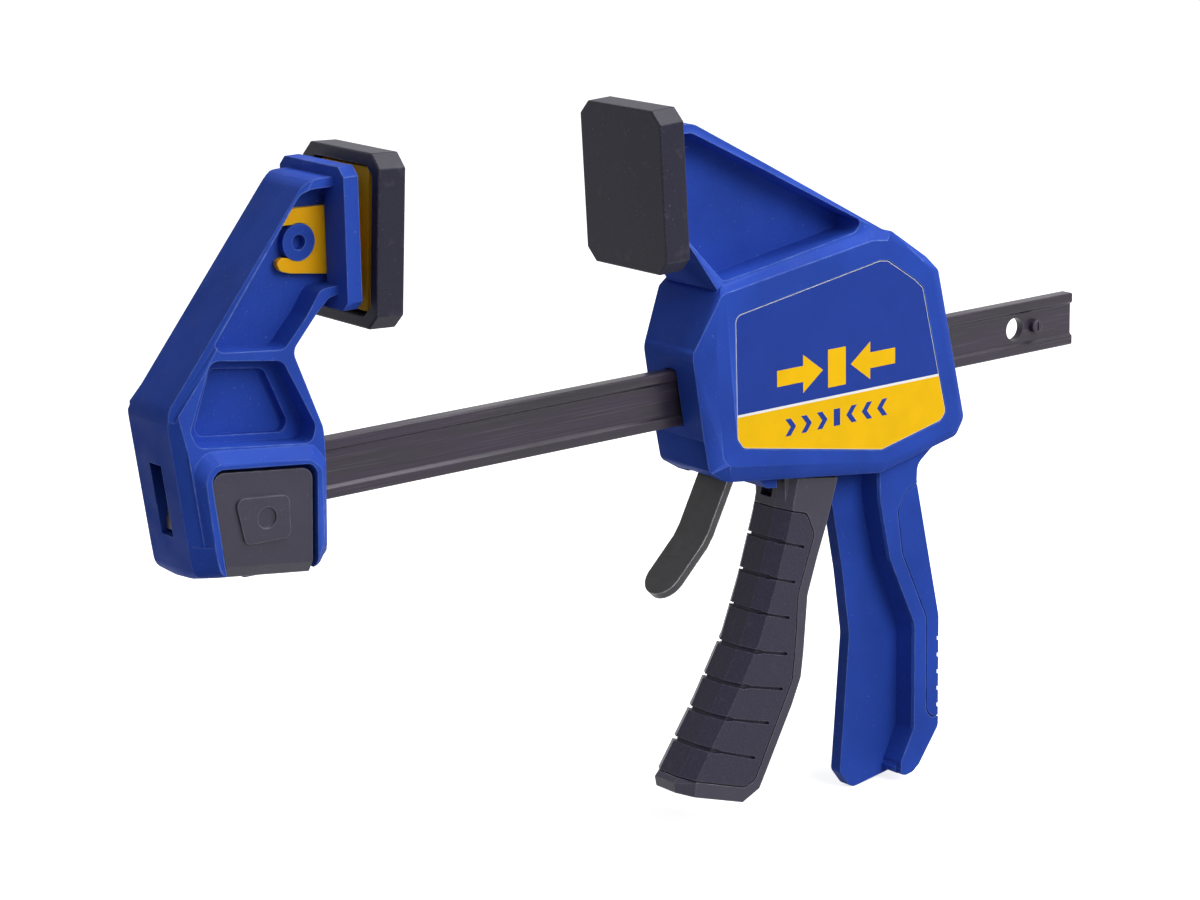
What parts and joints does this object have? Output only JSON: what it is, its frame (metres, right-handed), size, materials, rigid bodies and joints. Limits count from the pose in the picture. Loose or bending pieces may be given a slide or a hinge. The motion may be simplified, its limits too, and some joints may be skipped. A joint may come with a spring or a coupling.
{
  "type": "quick release bar clamp",
  "caption": "One-handed bar clamp: fixed jaw with swivel pad, sliding head with pistol grip, squeeze trigger and release lever on an I-section bar.",
  "frame": {"origin": "centre of the hanging hole in the bar", "axes": "+X along the bar from the fixed jaw towards the free end, +Y across the bar, +Z from the bar up to the pads"},
  "size_m": [0.4034, 0.0436, 0.2664],
  "materials": {
    "bar_steel": "dark grey-brown baked coating on cold-drawn steel, satin, with drawing lines",
    "bright_steel": "zinc-bright steel",
    "plate_steel": "stamped and hardened steel, oiled",
    "lever_steel": "black oxide sheet steel, worn bright on its edges",
    "blue_nylon": "glass-filled nylon, fine eroded texture, soft sheen",
    "soft_blue": "soft moulded skin, matte",
    "black_nylon": "charcoal nylon, fine texture",
    "soft_black": "charcoal soft moulded skin, matte",
    "amber_nylon": "amber nylon, soft sheen",
    "pad_rubber": "black non-marring elastomer, matte",
    "label_film": "printed film, blue field over a plain yellow band"
  },
  "bodies": {
    "root": {"bar": "bar_steel", "stop_pin": "bright_steel", "fixed_jaw": "blue_nylon", "button_spring": "bright_steel"},
    "swivel": {"swivel_carrier": "amber_nylon", "fixed_pad": "pad_rubber"},
    "button": {"push_button": "black_nylon", "lock_yoke": "bright_steel"},
    "head": {"clamp_body": "blue_nylon", "handle_grip": "soft_blue", "moving_pad": "pad_rubber", "label_left": "label_film", "label_right": "label_film", "trigger_pin": "bright_steel", "drive_spring": "bright_steel", "release_spring": "bright_steel"},
    "trigger": {"trigger": "black_nylon", "trigger_grip": "soft_black"},
    "drive": {"drive_plate_1": "plate_steel", "drive_plate_2": "plate_steel", "drive_plate_3": "plate_steel", "spring_washer": "plate_steel"},
    "lever": {"release_lever": "lever_steel"}
  },
  "joints": [
    {"name": "jaw_slide", "type": "slide", "parent": "root", "child": "head", "axis": [1, 0, 0], "range_m": [-0.1005, 0.0485]},
    {"name": "pad_swivel", "type": "hinge", "parent": "root", "child": "swivel", "pos_m": [-0.3201, 0, 0.0762], "axis": [0, 1, 0], "range_deg": [-9.2, 2.8]},
    {"name": "button_press", "type": "slide", "parent": "root", "child": "button", "axis": [0, 1, 0], "range_m": [0, 0.0025], "stiffness_N_per_m": 1500, "springref_m": -0.002},
    {"name": "trigger_squeeze", "type": "hinge", "parent": "head", "child": "trigger", "pos_m": [-0.1073, 0, 0.019], "axis": [0, -1, 0], "range_deg": [0, 17], "stiffness_Nm_per_rad": 0.6, "springref_deg": -22.92},
    {"name": "plate_drive", "type": "slide", "parent": "head", "child": "drive", "axis": [1, 0, 0], "range_m": [0, 0.00505]},
    {"name": "lever_release", "type": "hinge", "parent": "head", "child": "lever", "pos_m": [-0.1415, 0, 0.0155], "axis": [0, -1, 0], "range_deg": [0, 7], "stiffness_Nm_per_rad": 0.4, "springref_deg": -14.32}
  ],
  "couplings": [
    {"joint": "plate_drive", "follows": "trigger_squeeze", "m_per_rad": 0.017}
  ]
}
